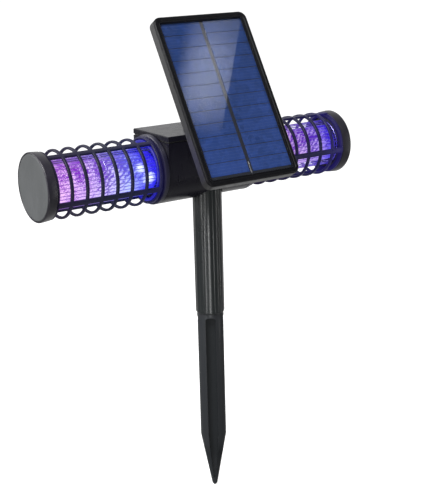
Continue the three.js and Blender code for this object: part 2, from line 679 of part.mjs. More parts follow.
function makePanel() {
  const group = new THREE.Group();
  group.position.set(PIVOT.x, PIVOT.y, PIVOT.z);
  group.rotation.x = -PANEL.tilt;
  group.add(meshOf("panel_tray", panelTray(), satinBlack()));
  const bezel = cut(slab(0, BEZEL.front, BEZEL.back), slab(BEZEL.rim, BEZEL.front - 1, BEZEL.back + 1));
  group.add(meshOf("panel_bezel", bezel, black()));
  group.add(meshOf("solar_laminate", slab(LAMINATE.inset, LAMINATE.front, LAMINATE.back), cellBlue()));
  group.add(meshOf("cover_glass", slab(GLASS.inset, GLASS.front, GLASS.back), clear()));
  group.add(meshOf("panel_bracket", panelBracket(), black()));
  corners.forEach(([i, j], k) => {
    const body = screw(TRAY_SCREW.headRadius, 1, TRAY_SCREW.shaftRadius, TRAY_SCREW.length);
    const mesh = meshOf(`tray_screw_${k + 1}`, body, steel());
    mesh.rotation.x = -Math.PI / 2;
    mesh.position.set(i * TRAY_SCREW.x, PANEL.back - 1.2 + GAP, PANEL_CENTRE + j * TRAY_SCREW.z);
    group.add(mesh);
  });
  [-1, 1].forEach((j, k) => {
    const { headRadius, headHeight, shaftRadius, length } = BRACKET_SCREW;
    const mesh = meshOf(`bracket_screw_${k + 1}`, screw(headRadius, headHeight, shaftRadius, length), steel());
    mesh.rotation.x = -Math.PI / 2;
    mesh.position.set(0, PANEL.back + BRACKET.thickness + 2 * GAP, j * BRACKET_SCREW.z);
    group.add(mesh);
  });
  return group;
}

const zapper = new THREE.Group();
zapper.add(makeStake(), makeHousing(), makeElectrics());
zapper.add(meshOf("left_light_lead", lightLead(-1), rubber()));
zapper.add(meshOf("right_light_lead", lightLead(1), rubber()));
zapper.add(makeButton(), makeButtonSurround());
zapper.add(makeZapperSide("left"), makeZapperSide("right"));
zapper.add(makeArm(), makeKnob(), makePanel());

export default zapper;
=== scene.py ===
import json
from math import cos, pi, radians, sin, tau

import bmesh
import bpy
from mathutils import Matrix, Vector


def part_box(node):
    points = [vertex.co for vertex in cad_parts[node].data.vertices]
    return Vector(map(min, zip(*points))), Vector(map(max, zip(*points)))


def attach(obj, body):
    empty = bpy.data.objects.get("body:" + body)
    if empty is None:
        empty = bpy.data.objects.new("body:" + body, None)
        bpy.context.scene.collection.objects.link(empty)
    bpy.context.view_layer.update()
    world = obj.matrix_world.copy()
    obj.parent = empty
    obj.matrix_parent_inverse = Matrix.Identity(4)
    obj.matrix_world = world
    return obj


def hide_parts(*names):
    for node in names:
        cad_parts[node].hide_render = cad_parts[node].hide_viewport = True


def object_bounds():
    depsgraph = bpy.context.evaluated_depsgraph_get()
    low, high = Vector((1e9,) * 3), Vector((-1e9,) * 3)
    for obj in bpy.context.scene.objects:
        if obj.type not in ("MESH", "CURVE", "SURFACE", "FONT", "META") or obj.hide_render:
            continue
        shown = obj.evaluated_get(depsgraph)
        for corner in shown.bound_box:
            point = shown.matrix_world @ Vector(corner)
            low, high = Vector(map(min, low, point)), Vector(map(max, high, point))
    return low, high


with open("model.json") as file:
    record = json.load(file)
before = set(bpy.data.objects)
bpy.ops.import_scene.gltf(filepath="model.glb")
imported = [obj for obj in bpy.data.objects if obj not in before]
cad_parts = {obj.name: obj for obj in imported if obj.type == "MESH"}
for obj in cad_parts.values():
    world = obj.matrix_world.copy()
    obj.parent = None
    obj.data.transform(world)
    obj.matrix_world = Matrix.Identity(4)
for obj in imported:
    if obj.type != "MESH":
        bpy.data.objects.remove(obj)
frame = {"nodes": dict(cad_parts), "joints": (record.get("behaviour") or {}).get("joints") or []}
cad_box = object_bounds()
MM = 0.001

# Driving sizes, in metres. Places come from the frame.
CAGE_AXIS = (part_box("left_cage_frame")[0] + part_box("right_cage_frame")[1]) / 2
HOOPS = 7
HOOP_WIDTH = 3.0 * MM
HOOP_DEPTH = 2.4 * MM
CAGE_RADIUS = 29.9 * MM
FIRST_HOOP = 52.4 * MM
HOOP_PITCH = 14.27 * MM
BARS = 4
BAR_WIDTH = 5.0 * MM
BAR_DEPTH = HOOP_DEPTH - 0.2 * MM
BAR_END = 150.4 * MM
BAR_ANGLES = {"left": radians(-26), "right": radians(-7)}  # above the forward direction
GRID_RADIUS = 21.2 * MM
GRID_WIRES = 40
GRID_WIRE = 0.34 * MM  # radius
WIRE_SIDES = 6
CORNER_STEPS = 4  # in each round corner of a hoop or bar
LIGHT_RADIUS = 17 * MM
REEDS = 12
REED_DEPTH = 0.5 * MM
TUBE_BORE = 10.2 * MM  # radius
SPIKE_RADIUS = 13 * MM
PANEL_PIVOT = Vector(next(j["pos_m"] for j in frame["joints"] if j["name"] == "panel_tilt"))
PANEL_TILT = radians(31.2)
PANEL_WIDTH = 96 * MM
PANEL_HEIGHT = 156.2 * MM
PANEL_RISE = 4 * MM  # of the panel's centre above the pivot
PANEL_CORNER = 7  # millimetres
CELL_ROWS = 12

# Camera
CAMERA_AIM = Vector((-4.39, -15.97, 70.74)) * MM
CAMERA_DISTANCE = 1.017
CAMERA_AZIMUTH, CAMERA_ELEVATION, CAMERA_ROLL = radians(33.497), radians(15.735), radians(-1.504)
CAMERA_LENS = 82.92


def look_matrix(azimuth, elevation, roll):
    """The rotation of a camera that looks down by elevation, turned by azimuth from +Y."""
    ahead = Vector((sin(azimuth) * cos(elevation), cos(azimuth) * cos(elevation), -sin(elevation)))
    right = Vector((cos(azimuth), -sin(azimuth), 0))
    up = right.cross(ahead)
    x = cos(roll) * right + sin(roll) * up
    y = -sin(roll) * right + cos(roll) * up
    return Matrix((x, y, -ahead)).transposed(), ahead


def add_camera():
    """A camera at the front left, looking a little down."""
    rotation, ahead = look_matrix(CAMERA_AZIMUTH, CAMERA_ELEVATION, CAMERA_ROLL)
    data = bpy.data.cameras.new("camera")
    data.lens = CAMERA_LENS
    data.sensor_width = 36
    data.clip_end = 50
    camera = bpy.data.objects.new("camera", data)
    camera.matrix_world = Matrix.Translation(CAMERA_AIM - ahead * CAMERA_DISTANCE) @ rotation.to_4x4()
    bpy.context.scene.collection.objects.link(camera)
    bpy.context.scene.camera = camera


# Materials


class Nodes:
    """A material's node tree, with short ways to add and link nodes."""

    def __init__(self, name):
        self.material = bpy.data.materials.new(name)
        self.material.use_nodes = True
        self.tree = self.material.node_tree
        self.shader = self.tree.nodes["Principled BSDF"]
        self.output = self.tree.nodes["Material Output"]

    def add(self, kind, inputs=None, **settings):
        """A node of a kind, with values or links for its inputs."""
        node = self.tree.nodes.new("ShaderNode" + kind)
        for key, value in settings.items():
            setattr(node, key, value)
        for key, value in (inputs or {}).items():
            self.feed(node, key, value)
        return node

    def feed(self, node, key, value):
        if isinstance(value, bpy.types.NodeSocket):
            self.tree.links.new(value, node.inputs[key])
        else:
            node.inputs[key].default_value = value

    def math(self, operation, a, b=0.0, c=0.0):
        return self.add("Math", {0: a, 1: b, 2: c}, operation=operation).outputs[0]

    def position(self):
        """The place on the part, in its own axes."""
        return self.add("TexCoord").outputs["Object"]

    def stretched(self, vector, scale):
        return self.add("Mapping", {"Vector": vector, "Scale": scale}).outputs[0]

    def noise(self, vector, scale, detail=3.0, distortion=0.0):
        inputs = {"Vector": vector, "Scale": scale, "Detail": detail, "Distortion": distortion}
        return self.add("TexNoise", inputs).outputs["Fac"]

    def ramp(self, factor, stops, smooth=False):
        """A colour or grey ramp from [(place, colour or grey)]."""
        node = self.add("ValToRGB", {"Fac": factor})
        elements = node.color_ramp.elements
        while len(elements) < len(stops):
            elements.new(0.5)
        for element, (place, color) in zip(elements, stops):
            element.position = place
            element.color = (*color, 1.0) if isinstance(color, tuple) else (color, color, color, 1.0)
        if smooth:
            node.color_ramp.interpolation = "EASE"
        return node.outputs["Color"]

    def along_x(self, stops):
        """A colour ramp over x in metres, in stops of rising x."""
        first, last = stops[0][0], stops[-1][0]
        x = self.add("SeparateXYZ", {"Vector": self.position()}).outputs["X"]
        share = self.add("MapRange", {"Value": x, "From Min": first, "From Max": last}).outputs[0]
        return self.ramp(share, [((at - first) / (last - first), color) for at, color in stops])

    def bump(self, height, strength, distance):
        return self.add("Bump", {"Height": height, "Strength": strength, "Distance": distance}).outputs[0]

    def blend(self, factor, ground, over):
        """Mixes two colours."""
        return self.add("Mix", {0: factor, 6: ground, 7: over}, data_type="RGBA").outputs[2]

    def paint_lamp_glow(self, spill):
        """Painted glow: the lamp's light on a part, painted as emission along its x, from [(x, colour)].
        """
        self.feed(self.shader, "Emission Color", self.along_x(spill))
        self.feed(self.shader, "Emission Strength", 1.0)

    def surface(self, **inputs):
        for key, value in inputs.items():
            self.feed(self.shader, key.replace("_", " "), value)
        return self.material


def plastic(name, color, worn, roughness, grain=1.0, scale=1.0, specular=0.5, coat=0.0, spill=None):
    """Moulded plastic: a fine spark-eroded grain, broad tone changes and slightly dusty patches.

    Spill is [(x, colour)] in metres: the lamp's light on the part, painted along its x as a glow."""
    m = Nodes(name)
    place = m.position()
    broad = m.noise(place, 24 * scale, 4)
    fine = m.noise(place, 1400 * scale, 2)
    scuffs = m.noise(m.stretched(place, (1, 1, 0.25)), 160 * scale, 5, 0.8)
    tone = m.math("MULTIPLY_ADD", broad, 0.7, m.math("MULTIPLY", scuffs, 0.3))
    base = m.ramp(tone, [(0.3, color), (0.72, worn)])
    rough = m.ramp(scuffs, [(0.25, roughness - 0.06), (0.8, roughness + 0.09)])
    if spill:
        m.paint_lamp_glow(spill)
    return m.surface(
        Base_Color=base,
        Roughness=rough,
        Normal=m.bump(fine, 0.25 * grain, 0.00012),
        Specular_IOR_Level=specular,
        Coat_Weight=coat,
        Coat_Roughness=0.015,
    )


def fluted_plastic():
    """The spike's black: the flutes' floors are darker and rougher than the ribs, the dark being painted
    shade, and the point turns paler and glossier towards its tip.
    """
    m = Nodes("spike_black")
    place = m.position()
    parts = m.add("SeparateXYZ", {"Vector": place})
    flat = m.add("CombineXYZ", {"X": parts.outputs["X"], "Y": parts.outputs["Y"]}).outputs[0]
    out = m.add("VectorMath", {0: flat}, operation="LENGTH").outputs["Value"]
    # Painted shade: the flutes' floors, nearer the axis, are darker and rougher than the ribs.
    rib = m.ramp(m.math("DIVIDE", out, SPIKE_RADIUS), [(0.66, 0.0), (0.9, 1.0)])
    # The point turns paler and glossier towards its tip.
    span = {"Value": parts.outputs["Z"], "From Min": -0.135, "From Max": -0.170}
    point = m.add("MapRange", span).outputs[0]
    flute_shade_mask = m.math("MAXIMUM", rib, point)
    cloud = m.noise(m.stretched(place, (1, 1, 0.25)), 60, 4, 0.8)
    flute_shade_mask = m.math("MULTIPLY", flute_shade_mask, m.ramp(cloud, [(0.2, 0.7), (0.7, 1.0)]))
    return m.surface(
        Base_Color=m.ramp(flute_shade_mask, [(0.1, (0.009, 0.011, 0.013)), (0.95, (0.026, 0.028, 0.031))]),
        Roughness=m.ramp(flute_shade_mask, [(0.1, 0.6), (0.9, 0.38)]),
        Specular_IOR_Level=0.2,
        Normal=m.bump(m.noise(place, 1400, 2), 0.1, 0.00012),
    )


def metal(name, color, roughness, stretch=(1, 1, 12), spill=None):
    """Plated or drawn metal with fine drawing lines and small dull patches."""
    m = Nodes(name)
    place = m.position()
    lines = m.noise(m.stretched(place, stretch), 600, 4)
    spots = m.noise(place, 220, 4)
    dull = tuple(0.7 * c for c in color)
    # Painted glow: the lamp's light on the metal, painted as emission along its x.
    if spill:
        m.paint_lamp_glow(spill)
    return m.surface(
        Base_Color=m.ramp(spots, [(0.35, dull), (0.6, color)]),
        Metallic=1.0,
        Roughness=m.ramp(lines, [(0.3, roughness - 0.08), (0.7, roughness + 0.1)]),
        Normal=m.bump(lines, 0.15, 0.0001),
    )


def rubber(name, color, roughness=0.75):
    """Matt rubber with fine pores and a pale bloom."""
    m = Nodes(name)
    place = m.position()
    pores = m.noise(place, 900, 3)
    bloom = m.noise(place, 60, 4)
    pale = tuple(1.6 * c + 0.004 for c in color)
    return m.surface(
        Base_Color=m.ramp(bloom, [(0.35, color), (0.75, pale)]),
        Roughness=m.ramp(bloom, [(0.3, roughness - 0.08), (0.7, roughness + 0.08)]),
        Normal=m.bump(pores, 0.4, 0.00015),
        Sheen_Weight=0.1,
    )


def circuit_green():
    """Solder mask over tracks, with pale rings where leads are soldered."""
    m = Nodes("circuit_board")
    place = m.position()
    tracks = m.add("TexBrick", {"Vector": place, "Scale": 160.0, "Mortar Size": 0.03}).outputs["Fac"]
    pads = m.add("TexVoronoi", {"Vector": place, "Scale": 190.0}).outputs["Distance"]
    mask = m.ramp(tracks, [(0.0, (0.01, 0.09, 0.035)), (1.0, (0.02, 0.17, 0.06))])
    rings = m.ramp(pads, [(0.14, 1.0), (0.2, 0.0)])
    return m.surface(
        Base_Color=m.blend(rings, mask, (0.6, 0.6, 0.58, 1)),
        Roughness=m.ramp(pads, [(0.1, 0.25), (0.3, 0.4)]),
    )


def cell_wrap():
    """A round cell's shrink film, with its paler joint line and slight wrinkles."""
    m = Nodes("cell_wrap")
    place = m.position()
    wrinkles = m.noise(m.stretched(place, (1, 4, 4)), 120, 4)
    return m.surface(
        Base_Color=m.ramp(wrinkles, [(0.3, (0.02, 0.11, 0.2)), (0.8, (0.04, 0.2, 0.32))]),
        Roughness=m.ramp(wrinkles, [(0.3, 0.22), (0.7, 0.36)]),
        Normal=m.bump(wrinkles, 0.3, 0.0003),
    )


def copper_winding():
    """Turns of lacquered copper wire."""
    m = Nodes("copper_winding")
    place = m.position()
    turns = m.add("TexWave", {"Vector": place, "Scale": 300.0}, bands_direction="Z").outputs["Fac"]
    return m.surface(
        Base_Color=m.ramp(turns, [(0.2, (0.2, 0.07, 0.03)), (0.7, (0.6, 0.28, 0.12))]),
        Metallic=0.8,
        Roughness=m.ramp(turns, [(0.0, 0.5), (1.0, 0.3)]),
        Normal=m.bump(turns, 0.6, 0.0003),
    )


def cell_silicon():
    """Blue silicon with crystal tone changes and hair-thin silver fingers, and painted light that makes
    it darker up the panel.
    """
    m = Nodes("solar_silicon")
    across = m.add("SeparateXYZ", {"Vector": m.add("TexCoord").outputs["UV"]})
    x, y = across.outputs["X"], across.outputs["Y"]
    crystals = m.add("TexVoronoi", {"Vector": m.position(), "Scale": 260.0}).outputs["Color"]
    tone = m.add("SeparateColor", {"Color": crystals}).outputs[0]
    cloud = m.noise(m.position(), 14, 3)
    mix = m.math("MULTIPLY_ADD", tone, 0.25, m.math("MULTIPLY", cloud, 0.75))
    # Painted light: the cells are lighter low on the panel and darker up it, standing in for a reflection
    # that fades towards the top.
    height = m.add("SeparateXYZ", {"Vector": m.position()}).outputs["Z"]
    span = {"Value": height, "From Min": 0.13, "From Max": 0.27, "To Min": 0.2, "To Max": -0.15}
    mix = m.math("ADD", mix, m.add("MapRange", span).outputs[0])
    blue = m.ramp(mix, [(0.25, (0.011, 0.031, 0.115)), (0.75, (0.024, 0.057, 0.225))])
    fingers = m.math("GREATER_THAN", m.math("FRACT", m.math("MULTIPLY", y, 4.0)), 0.93)
    lines = m.math("MULTIPLY", fingers, 0.12)
    rough = m.ramp(m.math("MULTIPLY_ADD", x, 0.2, tone), [(0.0, 0.25), (1.0, 0.45)])
    return m.surface(
        Base_Color=m.blend(lines, blue, (0.25, 0.3, 0.45, 1)),
        Roughness=rough,
        Specular_IOR_Level=0.1,
        Coat_Weight=1.0,
        Coat_Roughness=0.015,
    )


def clear_glass():
    """A clear sheet that hardly shows, with a faint dust film."""
    m = Nodes("cover_glass")
    smudge = m.noise(m.position(), 30, 2)
    return m.surface(
        Base_Color=m.ramp(smudge, [(0.35, (0.02, 0.03, 0.05)), (0.8, (0.03, 0.04, 0.07))]),
        Roughness=m.ramp(smudge, [(0.35, 0.03), (0.8, 0.12)]),
        Alpha=0.05,
    )


def lit_tube(name, start, end, strength, glow, hot_spots):
    """A tube lit from inside, with fine pale strokes.

    Glow is (share of the way from start to end, colour of the ground, colour of the strokes).
    Hot spots are (x, y, z, radius) where a lamp shows through."""
    m = Nodes(name)
    place = m.position()
    parts = m.add("SeparateXYZ", {"Vector": place})
    x, y, z = parts.outputs["X"], parts.outputs["Y"], parts.outputs["Z"]
    along = m.add("MapRange", {"Value": x, "From Min": start, "From Max": end}).outputs[0]
    turn = m.math(
        "ARCTAN2",
        m.math("SUBTRACT", z, CAGE_AXIS.z),
        m.math("SUBTRACT", y, CAGE_AXIS.y),
    )
    flat = m.add("CombineXYZ", {"X": x, "Y": m.math("MULTIPLY", turn, LIGHT_RADIUS), "Z": 0.0}).outputs[0]
    clouds = m.noise(flat, 90, 3, 0.8)
    wobble = m.noise(flat, 420, 3, 1.2)
    mesh = m.add("TexVoronoi", {"Vector": flat, "Scale": 560.0}, feature="DISTANCE_TO_EDGE")
    strokes = m.add(
        "TexWave",
        {"Vector": flat, "Scale": 125.0, "Distortion": 5.0, "Detail": 2.0, "Detail Scale": 1.2},
        bands_direction="DIAGONAL",
    ).outputs["Fac"]
    grain = m.ramp(mesh.outputs["Distance"], [(0.0, 0.0), (0.16, 1.0)])
    slant = m.ramp(along, [(0.35, 0.15), (0.5, 0.6), (0.75, 0.6), (0.9, 0.15)])
    threads = m.add("Mix", {0: slant, 2: grain, 3: strokes}).outputs[0]
    low_down = m.math("MULTIPLY_ADD", m.math("SUBTRACT", CAGE_AXIS.z, z), 0.2 / LIGHT_RADIUS, clouds)
    threads = m.math("MULTIPLY_ADD", threads, 0.5, m.math("MULTIPLY", low_down, 1.1))
    deep = m.ramp(along, [(at, color) for at, color, _ in glow])
    bright = m.ramp(along, [(at, color) for at, _, color in glow])
    share = m.ramp(threads, [(0.66, 0.0), (1.1, 1.0)])
    mixed = m.blend(share, deep, bright)
    for sx, sy, sz, radius in hot_spots:
        gap = m.add("VectorMath", {0: place, 1: (sx, sy, sz)}, operation="DISTANCE").outputs["Value"]
        ragged = m.math("MULTIPLY_ADD", wobble, 0.9 * radius, gap)
        near = m.ramp(m.math("DIVIDE", ragged, 1.6 * radius), [(0.45, 1.0), (0.8, 0.0)])
        mixed = m.blend(near, mixed, (0.8, 0.9, 1.0, 1))
    return m.surface(
        Base_Color=(0.02, 0.01, 0.06, 1),
        Roughness=m.ramp(wobble, [(0.3, 0.3), (0.7, 0.5)]),
        Emission_Color=mixed,
        Emission_Strength=strength,
    )


# Mesh helpers


def new_piece(name, bm, body, material, bevel=0.0, angle=35):
    """Finishes a mesh as a piece on a body, with softened edges."""
    bmesh.ops.recalc_face_normals(bm, faces=bm.faces)
    data = bpy.data.meshes.new(name)
    bm.to_mesh(data)
    bm.free()
    piece = bpy.data.objects.new(name, data)
    bpy.context.scene.collection.objects.link(piece)
    data.materials.append(material)
    smooth(piece, bevel, angle, segments=3)
    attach(piece, body)
    return piece


def smooth(piece, bevel, angle, segments=2):
    """Smooth shading up to an angle in degrees, and a small round on every sharper edge."""
    data = piece.data
    data.shade_smooth()
    data.set_sharp_from_angle(angle=radians(angle))
    if bevel:
        rounding = piece.modifiers.new("soft_edges", "BEVEL")
        rounding.width = bevel
        rounding.segments = segments
        rounding.limit_method = "ANGLE"
        rounding.angle_limit = radians(angle)
        rounding.use_clamp_overlap = True
        rounding.harden_normals = True


def carry_over(name, material, bevel=0.0, angle=35):
    """Keeps a CAD node's own solid, with soft edges and a finished material."""
    node = frame["nodes"][name]
    node.data.materials.clear()
    node.data.materials.append(material)
    if "custom_normal" in node.data.attributes:
        node.data.attributes.remove(node.data.attributes["custom_normal"])
    weld = node.modifiers.new("weld", "WELD")
    weld.merge_threshold = 2e-6
    smooth(node, bevel, angle)
    if not bevel:
        split = node.modifiers.new("hard_edges", "EDGE_SPLIT")
        split.split_angle = radians(angle)
    return node


def turned(profile, closed=False, sides=96, bm=None):
    """Turns [(distance along X, radius)] about X."""
    bm = bm or bmesh.new()
    rings = []
    for distance, radius in profile:
        ring = []
        for k in range(sides):
            a = tau * k / sides
            ring.append(bm.verts.new((distance, radius * cos(a), radius * sin(a))))
            if radius == 0:
                break
        rings.append(ring)
    pairs = list(zip(rings, rings[1:])) + ([(rings[-1], rings[0])] if closed else [])
    for a, b in pairs:
        for k in range(sides):
            j = (k + 1) % sides
            if len(a) == 1 and len(b) == 1:
                continue
            if len(a) == 1:
                bm.faces.new((a[0], b[k], b[j]))
            elif len(b) == 1:
                bm.faces.new((a[k], a[j], b[0]))
            else:
                bm.faces.new((a[k], a[j], b[j], b[k]))
    return bm


def rounded_rectangle(half_x, half_y, radius, steps=8):
    """Points of a rectangle with round corners, centred on the origin."""
    points = []
    for cx, cy, start in ((1, 1, 0), (-1, 1, 90), (-1, -1, 180), (1, -1, 270)):
        for k in range(steps + 1):
            a = radians(start + 90 * k / steps)
            x = cx * (half_x - radius) + radius * cos(a)
            y = cy * (half_y - radius) + radius * sin(a)
            points.append((x, y))
    return points


def prism(bm, outline, place):
    """Joins the outline at both ends: place(point, end) gives a corner for end 0 and 1."""
    low = [bm.verts.new(place(p, 0)) for p in outline]
    high = [bm.verts.new(place(p, 1)) for p in outline]
    bm.faces.new(low)
    bm.faces.new(high[::-1])
    for k in range(len(outline)):
        j = (k + 1) % len(outline)
        bm.faces.new((low[k], low[j], high[j], high[k]))


def set_out(bm, side):
    """Puts a zapper-side mesh, drawn with +X outwards, in its place."""
    if side == "left":
        bmesh.ops.scale(bm, verts=bm.verts, vec=(-1, 1, 1))
    bmesh.ops.translate(bm, verts=bm.verts, vec=CAGE_AXIS)


# Cages


def cage_frame(side, material):
    """Seven hoops, four bars, and the flange and neck that hold the end cap."""
    bm = bmesh.new()
    middle = CAGE_RADIUS - HOOP_DEPTH / 2
    section = rounded_rectangle(HOOP_WIDTH / 2, HOOP_DEPTH / 2, 0.9 * MM, CORNER_STEPS)
    for k in range(HOOPS):
        x = FIRST_HOOP + k * HOOP_PITCH
        turned([(x + a, middle + b) for a, b in section], closed=True, sides=120, bm=bm)
    start = FIRST_HOOP - HOOP_WIDTH / 2
    bar_section = rounded_rectangle(BAR_WIDTH / 2, BAR_DEPTH / 2, 0.8 * MM, CORNER_STEPS)
    for k in range(BARS):
        angle = BAR_ANGLES[side] + k * pi / 2
        out = Vector((0, -cos(angle), sin(angle)))
        along = Vector((0, sin(angle), cos(angle)))

        def corner(p, far, out=out, along=along):
            return Vector((BAR_END if far else start, 0, 0)) + along * p[0] + out * (middle + p[1])

        prism(bm, bar_section, corner)
    flange = [(149.0, 25.0), (149.0, 28.2), (149.4, 29.0), (150.7, 29.0), (150.7, 25.0)]
    turned([(x * MM, r * MM) for x, r in flange], closed=True, bm=bm)
    neck = [(149.0, 24.7), (149.0, 25.9), (149.3, 26.2), (155.6, 26.2), (156.0, 25.8), (156.0, 24.7)]
    turned([(x * MM, r * MM) for x, r in neck], closed=True, bm=bm)
    set_out(bm, side)
    piece = new_piece(f"{side}_cage", bm, f"{side}_cage", material, angle=40)
    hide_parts(f"{side}_cage_frame")


def end_cap(side, rim, face):
    """The cap's rim, with a rolled outer edge, and the disc let into it."""
    outside = [
        (156.6, 0.0), (156.6, 26.5), (151.0, 26.5), (151.0, 28.6), (151.3, 29.15), (152.2, 29.45),
        (158.6, 29.95), (159.5, 29.9), (160.0, 29.6), (160.2, 29.1), (160.15, 28.75), (159.9, 28.6),
        (158.9, 28.6), (158.9, 0.0),
    ]  # fmt: skip
    bm = turned([(x * MM, r * MM) for x, r in outside], sides=128)
    set_out(bm, side)
    cap = new_piece(f"{side}_cap_rim", bm, f"{side}_cage", rim, angle=40)
    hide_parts(f"{side}_end_cap")
    disc = [
        (159.1, 0.0), (159.1, 28.3), (159.75, 28.3), (159.95, 28.15), (160.02, 27.8), (160.0, 27.2),
        (160.0, 0.0),
    ]  # fmt: skip
    bm = turned([(x * MM, r * MM) for x, r in disc], sides=128)
    set_out(bm, side)
    plate = new_piece(f"{side}_cap_disc", bm, f"{side}_cage", face, angle=50)
    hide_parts(f"{side}_cap_face")


def socket_ring(side, material):
    """The collar on the housing that the cage plugs on to, with its spigot."""
    profile = [
        (45.3, 24.9), (45.3, 31.0), (45.6, 31.3), (48.6, 31.3), (49.2, 31.1), (49.5, 30.5),
        (49.5, 28.0), (49.8, 27.2), (54.2, 27.1), (54.6, 26.7), (54.6, 24.9),
    ]  # fmt: skip
    bm = turned([(x * MM, r * MM) for x, r in profile], closed=True, sides=128)
    set_out(bm, side)
    piece = new_piece(f"{side}_collar", bm, "head", material, angle=40)
    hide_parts(f"{side}_socket_ring")


def grid_wires(side, material):
    """Round wires in line with the axis, held by three hoops of wire."""
    bm = bmesh.new()
    start, end = 49.6 * MM, 150.4 * MM
    turns = [tau * k / WIRE_SIDES for k in range(WIRE_SIDES)]
    wire = [(GRID_WIRE * cos(a), GRID_WIRE * sin(a)) for a in turns]
    for k in range(GRID_WIRES):
        angle = tau * k / GRID_WIRES
        out = Vector((0, cos(angle), sin(angle)))
        along = Vector((0, -sin(angle), cos(angle)))

        def corner(p, far, out=out, along=along):
            return Vector((end if far else start, 0, 0)) + along * p[0] + out * (GRID_RADIUS + p[1])

        prism(bm, wire, corner)
    for x in (50.6 * MM, 100.0 * MM, 149.4 * MM):
        hoop = [(x + a, GRID_RADIUS + b) for a, b in wire]
        turned(hoop, closed=True, sides=96, bm=bm)
    set_out(bm, side)
    piece = new_piece(f"{side}_wire_grid", bm, "head", material, angle=60)
    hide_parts(f"{side}_grid_wires")


def light_tube(side, material):
    """The round diffuser of the lamp."""
    profile = [
        (49.7, 15.4), (49.7, 16.7), (50.0, 17.0), (150.2, 17.0), (150.5, 16.7), (150.5, 15.4),
    ]  # fmt: skip
    bm = turned([(x * MM, r * MM) for x, r in profile], closed=True, sides=96)
    set_out(bm, side)
    piece = new_piece(f"{side}_lit_tube", bm, "head", material, angle=40)
    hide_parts(f"{side}_light_tube")


# Stake


def reeded_tube(material):
    """Twelve convex reeds with sharp valleys, and a plain rolled lip at the lower end."""
    low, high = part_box("stake_tube")
    radius = (high.x - low.x) / 2
    sides = REEDS * 16
    bm = bmesh.new()
    rings = []
    levels = [
        (low.z, 0.965, 0.0), (low.z + 0.4 * MM, 0.99, 0.1), (low.z + 1.6 * MM, 1.0, 1.0),
        (low.z + 40 * MM, 1.0, 1.0), (low.z + 80 * MM, 1.0, 1.0), (high.z - 1.0 * MM, 1.0, 1.0),
        (high.z, 0.97, 0.6),
    ]  # fmt: skip
    for z, share, depth in levels:
        ring = []
        for k in range(sides):
            a = tau * k / sides
            hollow = 1 - abs(cos(REEDS / 2 * a)) ** 0.6
            r = radius * share - depth * REED_DEPTH * hollow
            ring.append(bm.verts.new((r * cos(a), r * sin(a), z)))
        rings.append(ring)
    for z in (high.z, low.z):
        rings.append([
            bm.verts.new((TUBE_BORE * cos(a), TUBE_BORE * sin(a), z))
            for a in (tau * k / sides for k in range(sides))
        ])
    for a, b in zip(rings, rings[1:] + rings[:1]):
        for k in range(sides):
            j = (k + 1) % sides
            bm.faces.new((a[k], a[j], b[j], b[k]))
    piece = new_piece("reeded_tube", bm, "stake", material, angle=50)
    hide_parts("stake_tube")


# Panel


def panel_point(x, y, z):
    """From the panel's own upright axes about its pivot to the row frame."""
    return PANEL_PIVOT + Matrix.Rotation(-PANEL_TILT, 3, "X") @ Vector((x, y, z))


def panel_bezel(material):
    """The front frame: rolled outer edge, flat face and a thin raised lip round the glass."""
    # (inset from the outline, depth in front of the pivot)
    profile = [
        (1.0, 21.3), (0.0, 21.4), (0.0, 22.2), (0.25, 22.9), (0.8, 23.35), (1.6, 23.5), (3.2, 23.5),
        (3.4, 23.3), (3.7, 22.95), (4.6, 22.95), (4.8, 23.2), (5.3, 23.2), (5.45, 22.95),
        (5.45, 21.25), (4.0, 21.25), (3.5, 21.3),
    ]  # fmt: skip
    bm = bmesh.new()
    loops = []
    for inset, depth in profile:
        outline = rounded_rectangle(
            PANEL_WIDTH / 2 - inset * MM,
            PANEL_HEIGHT / 2 - inset * MM,
            max(PANEL_CORNER - inset, 1.5) * MM,
        )
        loops.append([bm.verts.new(panel_point(x, -depth * MM, PANEL_RISE + z)) for x, z in outline])
    for a, b in zip(loops, loops[1:] + loops[:1]):
        for k in range(len(a)):
            j = (k + 1) % len(a)
            bm.faces.new((a[k], a[j], b[j], b[k]))
    piece = new_piece("front_frame", bm, "panel", material, angle=42)
    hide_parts("panel_bezel")


def slab(bm, x0, x1, z0, z1, front, back, uv=None):
    """A flat slab on the panel; front and back are depths in front of the pivot, in metres."""
    corners = [(x0, z0), (x1, z0), (x1, z1), (x0, z1)]
    before = len(bm.faces)

    def corner(p, far):
        return panel_point(p[0], -(back if far else front), PANEL_RISE + p[1])

    prism(bm, corners, corner)
    bm.faces.ensure_lookup_table()
    if uv:
        for face in bm.faces[before:]:
            for loop, k in zip(face.loops, range(4)):
                loop[uv].uv = ((0, 0), (1, 0), (1, 1), (0, 1))[k]


